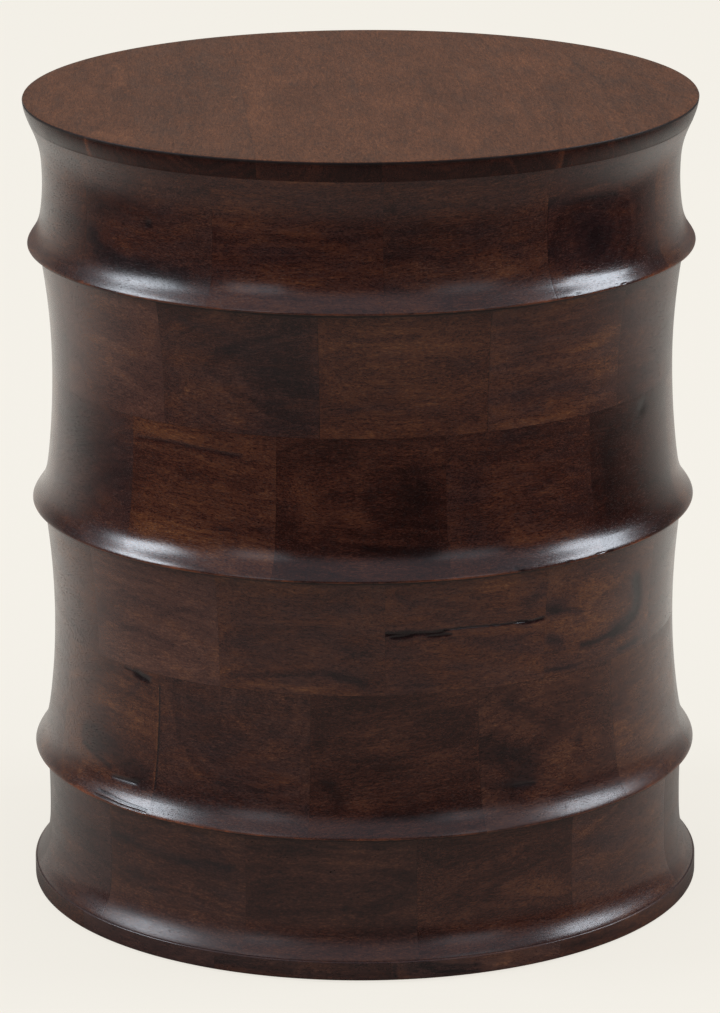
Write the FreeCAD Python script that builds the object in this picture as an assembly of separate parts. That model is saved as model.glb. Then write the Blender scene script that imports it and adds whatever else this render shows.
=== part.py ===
import FreeCAD, Part

import math
import os
from collections import namedtuple

# Drum side table in solid wood. Millimetres, +Z up, the front towards -Y.
# The origin is on the floor, in the middle of the foot.
#
# The drum is a stack of glued rings. Each ring has twelve blocks, turned round
# on the outside and left flat inside. Angles run from the front towards +X.

# ---- driving dimensions ------------------------------------------------------

HEIGHT = 500.0
TOP_THICKNESS = 12.5
BASE_TOP = 13.0
FLOOR_GAP = 1.0  # the ring stands this far off the floor, on its glides

BLOCKS = 12
INNER_FLAT = 165.0  # from the axis to the flat inner face of a block

# Turned outline: a bay is a hollow sweep between the ridge at its foot and the
# underside of the ridge above it.
Bay = namedtuple("Bay", "foot top waist_z waist_r rise_up rise_down flare decay power")

UPPER_RIDGE = 410.0
MIDDLE_RIDGE = 248.5
LOWER_RIDGE = 89.7
RIDGE_DROP = 2.2  # from the widest point of a ridge to the corner under it
RIDGE_ROUND = 1.2
RIDGE_TURN = 62.0  # degrees that the round of a ridge turns under

BAYS = (
    Bay(UPPER_RIDGE, HEIGHT, 451.5, 195.5, 0.5, 5.2, 4.7, 7.8, 1.5),
    Bay(MIDDLE_RIDGE, UPPER_RIDGE - RIDGE_DROP, 334.0, 191.9, 6.7, 7.1, 6.6, 8.6, 1.5),
    Bay(LOWER_RIDGE, MIDDLE_RIDGE - RIDGE_DROP, 174.0, 193.6, 5.3, 8.5, 5.2, 8.0, 1.5),
    Bay(BASE_TOP, LOWER_RIDGE - RIDGE_DROP, 57.0, 199.0, 1.2, 0.6, 8.7, 9.6, 1.25),
)
RIM_FLARE = 10.7
RIM_DECAY = 21.4
RIM_EASE = 0.7

BASE_RADIUS = 209.4
BASE_TOP_ROUND = 1.1
BASE_FOOT_ROUND = 1.4

# Rings of blocks from the top down: where each starts and ends, and the angle
# of one of its joints.
Course = namedtuple("Course", "name top foot bay joint_angle")
COURSES = (
    Course("course_1", HEIGHT - TOP_THICKNESS, UPPER_RIDGE - RIDGE_DROP, BAYS[0], 3.7),
    Course("course_2", UPPER_RIDGE - RIDGE_DROP, 332.0, BAYS[1], 22.5),
    Course("course_3", 332.0, MIDDLE_RIDGE - RIDGE_DROP, BAYS[1], 14.7),
    Course("course_4", MIDDLE_RIDGE - RIDGE_DROP, 175.0, BAYS[2], 3.7),
    Course("course_5", 175.0, LOWER_RIDGE - RIDGE_DROP, BAYS[2], 20.5),
    Course("course_6", LOWER_RIDGE - RIDGE_DROP, BASE_TOP, BAYS[3], 8.9),
)
BASE_JOINT_ANGLE = 4.2

# Top: boards side by side, split by upright joints that run front to back.
BOARD_JOINTS = (-139.8, -72.6, -1.1, 62.3, 138.9)
BOARD_TURN = 3.6  # degrees, the back of each joint leaning towards -X

# Glides: nylon discs in shallow seats under the base ring, each on a nail.
GLIDES = 4
GLIDE_RADIUS = 11.0
GLIDE_THICKNESS = 4.0
GLIDE_ROUND = 0.8
SEAT_CLEARANCE = 0.2
GLIDE_CIRCLE = 187.0  # from the axis to the middle of a glide
NAIL_RADIUS = 1.0
NAIL_LENGTH = 10.5
NAIL_HEAD_RADIUS = 3.2
NAIL_HEAD_THICKNESS = 1.0
NAIL_HEAD_SINK = 0.6  # how far the head lies inside the glide's lower face

CURVE_STEP = 4.5  # spacing of the points that a sweep is drawn through

# ---- helpers -----------------------------------------------------------------

ORIGIN = FreeCAD.Vector(0, 0, 0)
UP = FreeCAD.Vector(0, 0, 1)
PITCH = 360.0 / BLOCKS
FRONT = -90.0  # where angle 0 lies, as a turn from +X
BEYOND = 260.0  # outside the whole table


def outline_point(radius, height):
    return FreeCAD.Vector(radius, 0, height)


def turned(shape, degrees):
    copy = shape.copy()
    copy.rotate(ORIGIN, UP, degrees)
    return copy


def bay_radius(bay, height):
    """Radius of the turned surface at a height inside a bay."""
    above = max(0.0, height - bay.waist_z) / (bay.top - bay.waist_z)
    below = max(0.0, bay.waist_z - height) / (bay.waist_z - bay.foot)
    flare = bay.flare * math.exp(-(((height - bay.foot) / bay.decay) ** bay.power))
    radius = bay.waist_r + bay.rise_up * above**2 + bay.rise_down * below**2 + flare
    if bay.top == HEIGHT:
        radius += RIM_FLARE * math.exp(-(((HEIGHT - height) / RIM_DECAY) ** 2))
    return radius


def sweep(bay, low, high):
    """The bay's outline from one height up to another, as one edge."""
    steps = max(4, round((high - low) / CURVE_STEP))
    heights = [low + (high - low) * i / steps for i in range(steps + 1)]
    curve = Part.BSplineCurve()
    curve.interpolate([outline_point(bay_radius(bay, h), h) for h in heights])
    return curve.toShape()


def round_edge(centre_r, centre_z, radius, start, end):
    """An arc of the outline, its angles in degrees from straight outwards."""
    points = []
    for degrees in (start, (start + end) / 2, end):
        turn = math.radians(degrees)
        reach = centre_r + radius * math.cos(turn)
        points.append(outline_point(reach, centre_z + radius * math.sin(turn)))
    return Part.Arc(*points).toShape()


def first_point(edge):
    return edge.valueAt(edge.FirstParameter)


def last_point(edge):
    return edge.valueAt(edge.LastParameter)


def ridge_edges(bay, corner_radius):
    """From the corner under a ridge, out along its underside and round its nose."""
    lean = math.degrees(math.atan(2 * bay.rise_down / (bay.waist_z - bay.foot)))
    nose = bay_radius(bay, bay.foot)
    centre_r = nose - RIDGE_ROUND * math.cos(math.radians(lean))
    centre_z = bay.foot - RIDGE_ROUND * math.sin(math.radians(lean))
    rounding = round_edge(centre_r, centre_z, RIDGE_ROUND, -RIDGE_TURN, lean)
    corner = outline_point(corner_radius, bay.foot - RIDGE_DROP)
    underside = Part.LineSegment(corner, first_point(rounding)).toShape()
    return [underside, rounding]


def turned_solid(edges, span):
    """Closes an outline back to the axis side and turns it through an angle."""
    inside = INNER_FLAT * 0.8
    low, high = first_point(edges[0]), last_point(edges[-1])
    inner_low, inner_high = outline_point(inside, low.z), outline_point(inside, high.z)
    closing = [
        Part.LineSegment(high, inner_high).toShape(),
        Part.LineSegment(inner_high, inner_low).toShape(),
        Part.LineSegment(inner_low, low).toShape(),
    ]
    return Part.Face(Part.Wire(edges + closing)).revolve(ORIGIN, UP, span)


def flat_inside(sector):
    """Cuts the sector's inner side to one flat face, square to its middle."""
    box = Part.makeBox(BEYOND, BEYOND, 2 * HEIGHT, FreeCAD.Vector(INNER_FLAT, -BEYOND / 2, -HEIGHT))
    return sector.common(turned(box, PITCH / 2))


def save(name, solids):
    shape = solids[0] if len(solids) == 1 else Part.makeCompound(solids)
    shape.exportStep(f"parts/{name}.step")


# ---- pieces ------------------------------------------------------------------


def course_block(course, under_radius):
    """One block of a course, its first end at angle zero."""
    edges = []
    bottom = course.foot
    if course.foot < course.bay.foot:
        edges += ridge_edges(course.bay, under_radius)
        bottom = course.bay.foot
    edges.append(sweep(course.bay, bottom, course.top))
    return flat_inside(turned_solid(edges, PITCH))


def course_nodes():
    """Blocks in opposite pairs, numbered from the front towards +X."""
    half = BLOCKS // 2
    for course, below in zip(COURSES, COURSES[1:] + (None,)):
        under_radius = bay_radius(below.bay, course.foot) if below else None
        block = course_block(course, under_radius)
        for first in range(half):
            starts = [FRONT + course.joint_angle + PITCH * i for i in (first, first + half)]
            name = f"{course.name}_blocks_{first + 1:02d}_{first + 1 + half:02d}"
            save(name, [turned(block, start) for start in starts])


def base_outline():
    """The square-edged ring under the drum, both its edges eased."""
    crease = bay_radius(BAYS[-1], BASE_TOP)
    shoulder = BASE_TOP - BASE_TOP_ROUND
    foot = round_edge(
        BASE_RADIUS - BASE_FOOT_ROUND, FLOOR_GAP + BASE_FOOT_ROUND, BASE_FOOT_ROUND, -90, 0
    )
    side = Part.LineSegment(last_point(foot), outline_point(BASE_RADIUS, shoulder)).toShape()
    top = round_edge(crease, shoulder, BASE_RADIUS - crease, 0, 90)
    return [foot, side, top]


def glide_angles():
    """Glides sit in the middle of a base segment, a quarter turn apart."""
    first = FRONT + BASE_JOINT_ANGLE + 1.5 * PITCH
    return [first + 360.0 / GLIDES * i for i in range(GLIDES)]


def glide_seat():
    """What is bored out of the ring for one glide and its nail."""
    depth = GLIDE_THICKNESS - FLOOR_GAP
    centre = FreeCAD.Vector(GLIDE_CIRCLE, 0, FLOOR_GAP)
    seat = Part.makeCylinder(GLIDE_RADIUS + SEAT_CLEARANCE, depth, centre)
    tip = NAIL_HEAD_SINK + NAIL_LENGTH
    hole_base = FreeCAD.Vector(GLIDE_CIRCLE, 0, 0)
    return seat.fuse(Part.makeCylinder(NAIL_RADIUS, tip, hole_base))


def base_nodes():
    segment = flat_inside(turned_solid(base_outline(), PITCH))
    seats = [turned(glide_seat(), angle) for angle in glide_angles()]
    for number in range(BLOCKS):
        placed = turned(segment, FRONT + BASE_JOINT_ANGLE + PITCH * number)
        for seat in seats:
            if placed.distToShape(seat)[0] == 0:
                placed = placed.cut(seat)
        save(f"base_segment_{number + 1:02d}", placed.Solids)


def nail():
    """A flat-headed nail, point up, its head let into the glide."""
    head_base = FreeCAD.Vector(GLIDE_CIRCLE, 0, NAIL_HEAD_SINK)
    head = Part.makeCylinder(NAIL_HEAD_RADIUS, NAIL_HEAD_THICKNESS, head_base)
    point_length = 2 * NAIL_RADIUS
    shank = Part.makeCylinder(NAIL_RADIUS, NAIL_LENGTH - point_length, head_base)
    point_base = head_base + UP * (NAIL_LENGTH - point_length)
    point = Part.makeCone(NAIL_RADIUS, NAIL_RADIUS / 5, point_length, point_base)
    return head.fuse(shank).fuse(point).removeSplitter()


def glide():
    """A nylon disc with a rounded lower edge and a sunk hole for its nail."""
    disc = Part.makeCylinder(GLIDE_RADIUS, GLIDE_THICKNESS, FreeCAD.Vector(GLIDE_CIRCLE, 0, 0))
    lowest = [e for e in disc.Edges if e.BoundBox.ZMax < GLIDE_ROUND / 2]
    disc = disc.makeFillet(GLIDE_ROUND, lowest)
    sink = Part.makeCylinder(
        NAIL_HEAD_RADIUS, NAIL_HEAD_SINK + NAIL_HEAD_THICKNESS, FreeCAD.Vector(GLIDE_CIRCLE, 0, 0)
    )
    hole = Part.makeCylinder(NAIL_RADIUS, GLIDE_THICKNESS, FreeCAD.Vector(GLIDE_CIRCLE, 0, 0))
    return disc.cut(sink.fuse(hole))


def glide_nodes():
    for name, piece in (("floor_glides", glide()), ("glide_nails", nail())):
        save(name, [turned(piece.Solids[0], angle) for angle in glide_angles()])


def top_disc():
    """The whole top as one turned disc, before its boards are told apart."""
    underside = HEIGHT - TOP_THICKNESS
    side = sweep(BAYS[0], underside, HEIGHT - RIM_EASE)
    low, rim = first_point(side), last_point(side)
    high = outline_point(rim.x - RIM_EASE, HEIGHT)
    corners = [rim, high, outline_point(0, HEIGHT), outline_point(0, underside), low]
    straights = [Part.LineSegment(*ends).toShape() for ends in zip(corners, corners[1:])]
    return Part.Face(Part.Wire([side] + straights)).revolve(ORIGIN, UP, 360)


def board_nodes():
    disc = top_disc()
    sides = (-BEYOND,) + BOARD_JOINTS + (BEYOND,)
    for number, (left, right) in enumerate(zip(sides, sides[1:]), start=1):
        corner = FreeCAD.Vector(left, -BEYOND, HEIGHT - 2 * TOP_THICKNESS)
        strip = Part.makeBox(right - left, 2 * BEYOND, 3 * TOP_THICKNESS, corner)
        save(f"top_board_{number}", disc.common(turned(strip, BOARD_TURN)).Solids)


os.makedirs("parts", exist_ok=True)
board_nodes()
course_nodes()
base_nodes()
glide_nodes()
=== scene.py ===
import math
from collections import namedtuple

import bmesh
import bpy
import numpy as np
from mathutils import Matrix, Vector, noise


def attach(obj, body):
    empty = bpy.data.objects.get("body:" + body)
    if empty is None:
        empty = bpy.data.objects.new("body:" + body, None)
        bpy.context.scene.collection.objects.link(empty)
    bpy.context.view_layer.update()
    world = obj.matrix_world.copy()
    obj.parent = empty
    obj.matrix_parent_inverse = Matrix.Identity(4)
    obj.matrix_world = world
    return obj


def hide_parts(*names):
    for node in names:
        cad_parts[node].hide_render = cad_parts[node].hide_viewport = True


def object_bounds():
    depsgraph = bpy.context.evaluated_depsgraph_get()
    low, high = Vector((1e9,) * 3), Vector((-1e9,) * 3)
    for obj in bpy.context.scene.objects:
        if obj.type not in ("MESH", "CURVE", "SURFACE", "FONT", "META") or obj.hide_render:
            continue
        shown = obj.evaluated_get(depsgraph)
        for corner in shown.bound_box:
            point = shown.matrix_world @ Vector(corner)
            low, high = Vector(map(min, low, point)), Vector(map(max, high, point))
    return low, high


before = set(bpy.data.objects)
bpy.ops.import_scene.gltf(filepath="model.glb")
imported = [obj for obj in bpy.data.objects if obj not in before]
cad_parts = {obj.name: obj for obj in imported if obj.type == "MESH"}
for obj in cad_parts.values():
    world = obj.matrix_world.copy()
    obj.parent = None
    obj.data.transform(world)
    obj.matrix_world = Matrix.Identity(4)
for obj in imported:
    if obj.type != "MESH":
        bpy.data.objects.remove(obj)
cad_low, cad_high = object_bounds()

# The looks of a drum side table: a stack of turned rings of stained wooden
# blocks, six top boards and a foot ring. Lengths are in millimetres until a
# mesh is made. Angles are in degrees from the front (-Y) towards +X.

MM = 0.001
BODY = "root"

# ---- camera ----

IMAGE_HEIGHT = 1013
FOCAL_PIXELS = 5133
SENSOR = 36.0
CAMERA_BACK, CAMERA_UP = 3.085, 1.112
CAMERA_PITCH = 15.84
CAMERA_YAW = 0.035
CAMERA_ROLL = -0.35


def make_object(name, data):
    made = bpy.data.objects.new(name, data)
    bpy.context.scene.collection.objects.link(made)
    return made


def make_camera():
    data = bpy.data.cameras.new("camera")
    data.sensor_width = SENSOR
    data.lens = FOCAL_PIXELS * SENSOR / IMAGE_HEIGHT
    camera = make_object("camera", data)
    camera.location = (0, -CAMERA_BACK, CAMERA_UP)
    look = Matrix.Rotation(math.radians(CAMERA_YAW), 4, "Z")
    look @= Matrix.Rotation(math.radians(90 - CAMERA_PITCH), 4, "X")
    look @= Matrix.Rotation(math.radians(CAMERA_ROLL), 4, "Z")
    camera.rotation_euler = look.to_euler()
    bpy.context.scene.camera = camera


make_camera()

# ---- driving dimensions ----

HEIGHT = cad_high.z / MM
TOP_THICKNESS = 12.5
BASE_TOP = 13.0
FLOOR_GAP = 1.0
BLOCKS = 12
PITCH = 360.0 / BLOCKS
INNER_FLAT = 165.0

Bay = namedtuple("Bay", "foot top waist_z waist_r rise_up rise_down flare decay power")
UPPER_RIDGE, MIDDLE_RIDGE, LOWER_RIDGE = RIDGES = (410.0, 248.5, 89.7)
RIDGE_DROP, RIDGE_ROUND, RIDGE_TURN = 2.2, 1.2, 62.0
BAYS = (
    Bay(UPPER_RIDGE, HEIGHT, 451.5, 195.5, 0.5, 5.2, 4.7, 7.8, 1.5),
    Bay(MIDDLE_RIDGE, UPPER_RIDGE - RIDGE_DROP, 334.0, 191.9, 6.7, 7.1, 6.6, 8.6, 1.5),
    Bay(LOWER_RIDGE, MIDDLE_RIDGE - RIDGE_DROP, 174.0, 193.6, 5.3, 8.5, 5.2, 8.0, 1.5),
    Bay(BASE_TOP, LOWER_RIDGE - RIDGE_DROP, 57.0, 199.0, 1.2, 0.6, 8.7, 9.6, 1.25),
)
RIM_FLARE, RIM_DECAY, RIM_EASE = 10.7, 21.4, 0.7
BASE_RADIUS, BASE_TOP_ROUND, BASE_FOOT_ROUND = 209.4, 1.1, 1.4

Course = namedtuple("Course", "name top foot bay joint_angle")
COURSES = (
    Course("course_1", HEIGHT - TOP_THICKNESS, UPPER_RIDGE - RIDGE_DROP, BAYS[0], 3.7),
    Course("course_2", UPPER_RIDGE - RIDGE_DROP, 332.0, BAYS[1], 22.5),
    Course("course_3", 332.0, MIDDLE_RIDGE - RIDGE_DROP, BAYS[1], 14.7),
    Course("course_4", MIDDLE_RIDGE - RIDGE_DROP, 175.0, BAYS[2], 3.7),
    Course("course_5", 175.0, LOWER_RIDGE - RIDGE_DROP, BAYS[2], 20.5),
    Course("course_6", LOWER_RIDGE - RIDGE_DROP, BASE_TOP, BAYS[3], 8.9),
)
BASE_JOINT_ANGLE = 4.2
FOOT_RING = len(COURSES) + 1  # the foot ring's number among the courses
BOARD_JOINTS = (-139.8, -72.6, -1.1, 62.3, 138.9)
BOARD_TURN = 3.6
UNTURNED = Matrix.Rotation(-math.radians(BOARD_TURN), 3, "Z")
GLIDES, GLIDE_CIRCLE, SEAT_RADIUS, SEAT_DEPTH = 4, 187.0, 11.2, 3.0

# ---- mesh spacing ----

ROW_STEP = 2.0
COLUMN_STEP = 0.55  # degrees
EASE_WIDTH = 0.28  # how far the eased edge of a block reaches in from its joint
RIM_SEGMENTS = 720
RING_STEP = 4.0


def on_circle(angle, radius):
    """X and Y of a point at an angle round the drum."""
    turn = math.radians(angle)
    return radius * math.sin(turn), -radius * math.cos(turn)


def bay_radius(bay, height):
    """Radius of the turned surface at a height inside a bay."""
    above = max(0.0, height - bay.waist_z) / (bay.top - bay.waist_z)
    below = max(0.0, bay.waist_z - height) / (bay.waist_z - bay.foot)
    flare = bay.flare * math.exp(-(((height - bay.foot) / bay.decay) ** bay.power))
    radius = bay.waist_r + bay.rise_up * above**2 + bay.rise_down * below**2 + flare
    if bay.top == HEIGHT:
        radius += RIM_FLARE * math.exp(-(((HEIGHT - height) / RIM_DECAY) ** 2))
    return radius


def arc_points(centre_r, centre_z, radius, start, end, count):
    points = []
    for i in range(count + 1):
        turn = math.radians(start + (end - start) * i / count)
        points.append((centre_r + radius * math.cos(turn), centre_z + radius * math.sin(turn)))
    return points


def spaced(low, high, step, extra=()):
    """Heights from low to high, about a step apart, with the extra ones let in."""
    count = max(2, round((high - low) / step))
    heights = {low + (high - low) * i / count for i in range(count + 1)}
    heights |= {low + EASE_WIDTH, high - EASE_WIDTH}
    heights |= {h for h in extra if low + EASE_WIDTH < h < high - EASE_WIDTH}
    kept = []
    for height in sorted(heights):
        if not kept or height - kept[-1] > 0.12:
            kept.append(height)
    kept[-1] = high
    return kept


def ridge_points(bay, corner_radius):
    """From the corner under a ridge out along its underside and round its nose."""
    lean = math.degrees(math.atan(2 * bay.rise_down / (bay.waist_z - bay.foot)))
    nose = bay_radius(bay, bay.foot)
    centre_r = nose - RIDGE_ROUND * math.cos(math.radians(lean))
    centre_z = bay.foot - RIDGE_ROUND * math.sin(math.radians(lean))
    rounding = arc_points(centre_r, centre_z, RIDGE_ROUND, -RIDGE_TURN, lean, 9)
    corner = (corner_radius, bay.foot - RIDGE_DROP)
    eased = (corner_radius + EASE_WIDTH, corner[1] + EASE_WIDTH / 4)
    halfway = tuple((a + b) / 2 for a, b in zip(corner, rounding[0]))
    return [corner, eased, halfway] + rounding[:-1]


# ---- figure of the wood ----

# A stroke is a soft line or spot in the stain: its course, (angle, height)
# points, half-width, how much it lightens (+) or darkens (-), how deep it dips
# and how sharply it ends. The foot ring counts as course 7.
Stroke = namedtuple("Stroke", "course points width tone dip soft", defaults=(0.0, 2.0))
STROKES = tuple(Stroke(*row) for row in (
    # course 1
    (1, [(-39.6, 452)], 2.2, -1.6, 0.5),
    (1, [(-54.5, 438), (-51, 429), (-44, 424), (-32, 422)], 5, -1.1),
    (1, [(-42, 436), (-36, 444)], 9, -0.35),
    (1, [(44.7, 440)], 15, -1.1),
    (1, [(-6, 426), (2, 424)], 10, 0.15),
    (1, [(10, 424), (30, 430)], 10, 0.25),
    (1, [(31, 466), (50, 463)], 2.5, -0.6),
    # course 2
    (2, [(-14, 396), (-12, 350)], 19, -0.62, 0, 3),
    (2, [(-22, 384), (-18, 362)], 13, -0.35),
    (2, [(-34, 392), (-31, 352)], 5.5, 0.30),
    (2, [(-27, 344), (-22, 337)], 4, 0.4),
    (2, [(4, 390), (16, 386)], 9, 0.25),
    (2, [(-2, 392), (10, 394)], 1.8, -0.5),
    (2, [(8, 346), (20, 342)], 3, -0.45),
    (2, [(25, 333), (40, 336), (50, 342)], 2.6, 0.5),
    (2, [(28, 352), (44, 350)], 4, -0.3),
    (2, [(40, 372), (50, 377)], 6, 0.25),
    (2, [(-52, 362), (-44, 350)], 4.5, 0.35),
    (2, [(-55, 338), (-40, 336)], 2.2, 0.35),
    # course 3
    (3, [(-62, 300), (-48, 290)], 24, -0.5),
    (3, [(-44, 319.5), (-36, 321), (-22, 318.5)], 1.5, -1, 0.1),
    (3, [(-42, 268), (-26, 262)], 8, 0.45),
    (3, [(-43, 326), (-30, 324)], 3, 0.4),
    (3, [(-26, 274), (-17, 276)], 3.4, -0.5),
    (3, [(-17.8, 299)], 2.9, 1.1),
    (3, [(-17.8, 299)], 1.4, -2, 0.1),
    (3, [(-9, 292), (-2, 284)], 10, 0.4),
    (3, [(9, 304), (9, 274)], 13, -0.6, 0, 3),
    (3, [(-11, 306), (-9, 276)], 7, 0.35),
    (3, [(0, 323), (13, 324)], 6, 0.4),
    (3, [(0, 268), (12, 262)], 3.6, -0.8),
    (3, [(-4, 272), (10, 268)], 2, 0.6),
    (3, [(19, 306), (20, 280)], 9, -0.45),
    (3, [(28, 268), (40, 262)], 8, 0.5),
    (3, [(61.5, 324)], 5, -1.4, 0.2),
    (3, [(50, 312), (49, 270)], 8, -0.55),
    # course 4
    (4, [(3.9, 214), (9, 213.2), (14, 213.5)], 1.6, -2.2, 0.55),
    (4, [(5, 211.6), (8, 211.8)], 1.5, -1.8, 0.4),
    (4, [(11.5, 211.2), (15, 211.4)], 1.2, -1.6, 0.4),
    (4, [(14, 214.2), (20, 214.6), (24, 213.8), (30, 213.2)], 0.7, -2, 0.35),
    (4, [(23.5, 213.8)], 1.2, -1.8, 0.3),
    (4, [(28, 213.4), (30.4, 212.6), (33.2, 213.2)], 1.3, -2.2, 0.5),
    (4, [(6, 237), (8, 232)], 3, -0.7),
    (4, [(30, 226), (33, 232)], 4.5, -0.7),
    (4, [(34.1, 218.2), (36.5, 216.5)], 4.2, -1.2),
    (4, [(35.5, 217), (42, 212)], 2.2, -0.9),
    (4, [(34.4, 199.5), (36.4, 196)], 3.6, -1.1),
    (4, [(34, 190.8), (38.5, 190.5)], 1.2, -0.7),
    (4, [(57.6, 219), (58.6, 208), (58.2, 199), (55.5, 193.6), (51.5, 191.2)], 5.4, -2, 0.1),
    (4, [(52, 191.2), (47, 190), (42.5, 190.2)], 1.7, -1.8),
    (4, [(53, 178.6), (59, 179.6)], 1.8, -1.2),
    (4, [(44, 210), (53, 206)], 9, 0.4),
    (4, [(34, 179.6), (41, 177.4)], 1.4, -1.1),
    (4, [(-49, 222), (-36, 218), (-28, 222)], 2.4, -0.5),
    (4, [(-49, 199), (-42, 200), (-36, 196)], 1.8, -0.7),
    (4, [(-54, 184), (-44, 181), (-33, 184)], 5.5, 0.30),
    (4, [(-46, 209), (-34, 205)], 8, 0.25),
    (4, [(-22, 206), (-12, 203)], 10, -0.3),
    (4, [(-10, 214), (2, 198)], 4, -0.3),
    (4, [(-24, 184), (-14, 186), (-6, 189), (0, 182)], 2.6, -0.75),
    (4, [(-22, 178.5), (-8, 179)], 1.8, 0.4),
    # course 5
    (5, [(-45, 171.9), (-42.4, 170)], 2.5, -2.4, 0.6),
    (5, [(-48.4, 173.6), (-45.4, 172.2)], 0.8, -1.4, 0.15),
    (5, [(-39.62, 168), (-39.6, 104)], 0.5, 0.45),
    (5, [(-39.42, 168), (-39.42, 104)], 0.45, -1.4),
    (5, [(-44.6, 166), (-46.5, 158)], 2.2, -0.6),
    (5, [(-59, 122.5), (-52, 120.5), (-46, 114.5), (-42.6, 109)], 8, -1, 0, 3.5),
    # painted shade along a dent in the lower ridge's lip, where its reflection breaks into two bands
    (5, [(-52.5, 91.4), (-47, 90.9), (-40, 90.4)], 0.6, -1.8, 0.3),
    (5, [(-60.5, 115.5), (-55, 112), (-51, 108.5)], 1.6, -0.9),
    (5, [(-50, 103.9), (-43.6, 104.8)], 1.4, -1.5, 0.35),
    (5, [(-58, 108), (-60, 100)], 4, 0.55),
    # painted shade along a shallow groove above the lower ridge, where its reflection breaks
    (5, [(-52, 94.2), (-45, 92.8), (-37, 91.4)], 0.7, -1.6, 0.12),
    (5, [(-56, 146), (-46, 140)], 8, 0.35),
    (5, [(-8, 112), (4, 104), (16, 104)], 4, 0.35),
    (5, [(-6, 120), (-4, 108)], 5, -0.8),
    (5, [(2, 103), (14, 100)], 3, -0.8),
    (5, [(4, 138), (16, 132)], 6, 0.35),
    (5, [(26, 166), (33, 150), (36, 146)], 4.5, -0.6),
    (5, [(22, 140), (30, 124), (26, 110)], 9, -0.95),
    (5, [(41.3, 131)], 3.2, -1.3, 0.2),
    (5, [(42.5, 124)], 1.6, -0.8),
    (5, [(27, 113), (31, 112)], 1.6, -1, 0.2),
    (5, [(38, 128), (46, 132)], 8, 0.35),
    # course 6
    (6, [(-70, 60), (-54, 48)], 24, -0.45),
    (6, [(-50, 66), (-38, 62), (-24, 64)], 3, -0.7),
    (6, [(-46, 34), (-30, 30)], 6, 0.45),
    (6, [(-30, 50), (-24, 44)], 4, -0.5),
    (6, [(27, 52), (35, 46)], 8, 0.55),
    (6, [(12, 70), (24, 72)], 4, -0.4),
    (6, [(42, 64), (52, 60)], 5, -0.5),
    # foot ring
    (7, [(9, 10), (12, 5), (19, 3)], 0.9, -1.6, 0.1),
    (7, [(10, 11), (14, 8), (19, 7)], 0.8, -1.3),
    (7, [(8, 9), (16, 4)], 4.5, -0.7),
    (7, [(20.2, 8), (23.5, 6)], 3.2, 0.6),
    (7, [(-30, 7), (-12, 6)], 1.6, -0.6),
    (7, [(34, 8), (52, 7)], 1.8, -0.6),
    (7, [(4.6, 11.4), (4.6, 3)], 0.8, -2, 0.3),
    (7, [(3.9, 11.4), (3.9, 6)], 0.5, -1.6, 0.2),
))

# Small black pits along the ridges: (course, angle, height, half-width).
PITS = tuple(
    (3, angle, 249.4 + 0.9 * math.sin(angle * 2.7), 0.55 + 0.25 * math.sin(angle * 5.1))
    for angle in (26.2, 27.3, 29.1, 30.4, 31.8, 36.3, 38.0, 39.1, 41.5, 43.2, 44.1, 45.9)
) + tuple(
    (1, angle, 410.6 + 0.7 * math.cos(angle * 3.3), 0.5)
    for angle in (-56.0, -54.6, 33.0, 35.2, 38.1, 47.5, 49.0)
)

# The level and coolness of the stain on a block, by course and by the angle
# where the block lies. Blocks that aren't here get theirs by lot.
BLOCK_STAINS = {
    1: ((-71, -0.1, 0.2), (-41, -0.15, 0.4), (-11, -0.03, 0.4), (18, -0.15, 0.2), (48, -0.36, 0.6)),
    2: ((-53, 0.66, 1.1), (-23, 0.04, 0.4), (7, 0.18, 0.0), (38, 0.24, 0.4), (68, -0.1, 0.5)),
    3: ((-61, 0.0, 0.7), (-31, 0.24, -0.3), (0, -0.52, -0.9), (30, -0.20, 0.1), (60, -0.7, -0.8)),
    4: (
        (-71, 0.3, 0.4), (-42, 0.64, 1.1), (-12, 0.26, 0.4),
        (19, 0.36, 0.3), (49, 0.40, 0.4), (79, -0.1, 0.2),
    ),
    5: ((-55, 0.22, 0.0), (-25, -0.16, 0.4), (5, -0.28, -1.6), (35, 0.06, -0.4), (65, 0.4, 0.2)),
    6: ((-66, 0.2, 0.8), (-37, -0.06, 0.0), (-7, -0.22, -1.0), (23, -0.22, -1.0), (53, 0.36, 0.4)),
    7: ((-41, -0.26, 1.3), (-11, -0.26, 0.5), (19, 0.42, 0.8), (46, 0.08, -1.4)),
}

# Where the growth rings close on a block: course, angle and height of the eye,
# how round the figure is (1) or drawn out along the grain (0), and how deep.
BLOCK_EYES = (
    (1, 44.7, 440, 0.7, -5), (1, 18, 395, 0.25, -30),
    (1, -11, 520, 0.2, -10), (1, -41, 505, 0.3, 20),
    (2, -10, 372, 0.5, -14), (2, 6, 372, 0.35, -6),
    (2, 37, 300, 0.15, -20), (3, -31, 200, 0.1, -20),
    (3, 10, 296, 0.38, -16), (3, 30, 302, 0.32, -14),
    (4, -42, 190, 0.35, -2), (4, -12, 206, 0.4, -12),
    (4, 18, 300, 0.1, -40), (4, 50, 214, 0.55, -2),
    (5, -18, 162, 0.8, 1), (5, 3, 150, 0.4, -12),
    (5, 41.3, 131, 0.45, -6), (5, -52, 118, 0.45, -2),
    (6, -8, 52, 0.28, -9), (6, 31, 48, 0.3, -9),
    (6, -37, 90, 0.2, -12),
)

# How much duller than the rest the lacquer of a course is, and how much that
# changes for single blocks: course, middle and change.
DULLNESS = {5: 0.7, 6: 1.1, 7: 0.8}
BLOCK_DULLNESS = ((6, -36.1, 0.7), (6, 23.9, -0.5), (6, 53.9, -1.0))

EYE_SEED = 41
STAIN_SEED = 7
LEVEL_SPREAD, COOLNESS_SPREAD = 0.8, 0.5


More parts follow.
